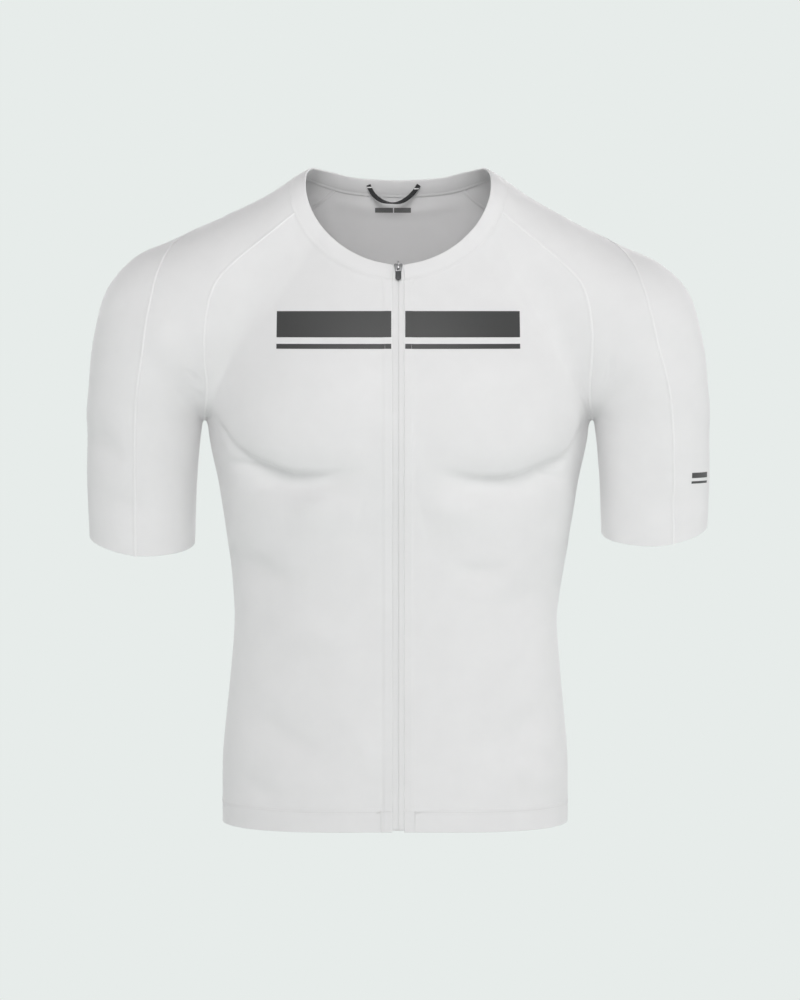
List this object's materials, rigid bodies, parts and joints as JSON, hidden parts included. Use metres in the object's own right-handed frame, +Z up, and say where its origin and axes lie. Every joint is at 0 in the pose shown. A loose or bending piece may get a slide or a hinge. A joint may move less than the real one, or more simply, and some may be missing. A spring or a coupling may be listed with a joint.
{
  "type": "triathlon top",
  "caption": "Close-fitting short-sleeved sports top with raglan sleeves, a round collar band and a full front zip, in worn form.",
  "frame": {"origin": "midway between the two highest points of the neck opening, where the top hangs on the wearer's shoulders", "axes": "+Z up along the wearer's body, -Y towards the front with the zip, +X towards the wearer's left sleeve"},
  "size_m": [0.5899, 0.2517, 0.62],
  "materials": {
    "white_knit": "fine matte stretch knit",
    "white_binding": "smooth matte folded binding",
    "white_tape": "woven zip tape",
    "white_nylon": "satin nylon coil",
    "grey_enamel": "satin enamelled metal",
    "dark_pull": "matte moulded pull tab",
    "black_tape": "matte woven tape"
  },
  "bodies": {
    "top": {"front_left": "white_knit", "front_right": "white_knit", "back": "white_knit", "sleeve_front_left": "white_knit", "sleeve_front_right": "white_knit", "sleeve_back_left": "white_knit", "sleeve_back_right": "white_knit", "collar": "white_binding", "hem_band": "white_knit", "zip_tape_left": "white_tape", "zip_tape_right": "white_tape", "zip_coil": "white_nylon", "zip_slider": "grey_enamel", "hanger_loop": "black_tape"},
    "pull_tab": {"zip_pull": "dark_pull"}
  },
  "joints": [
    {"name": "pull_tab_swing", "type": "hinge", "parent": "top", "child": "pull_tab", "pos_m": [0, -0.08303, -0.09556], "axis": [-1, 0, 0], "range_deg": [0, 150]}
  ]
}
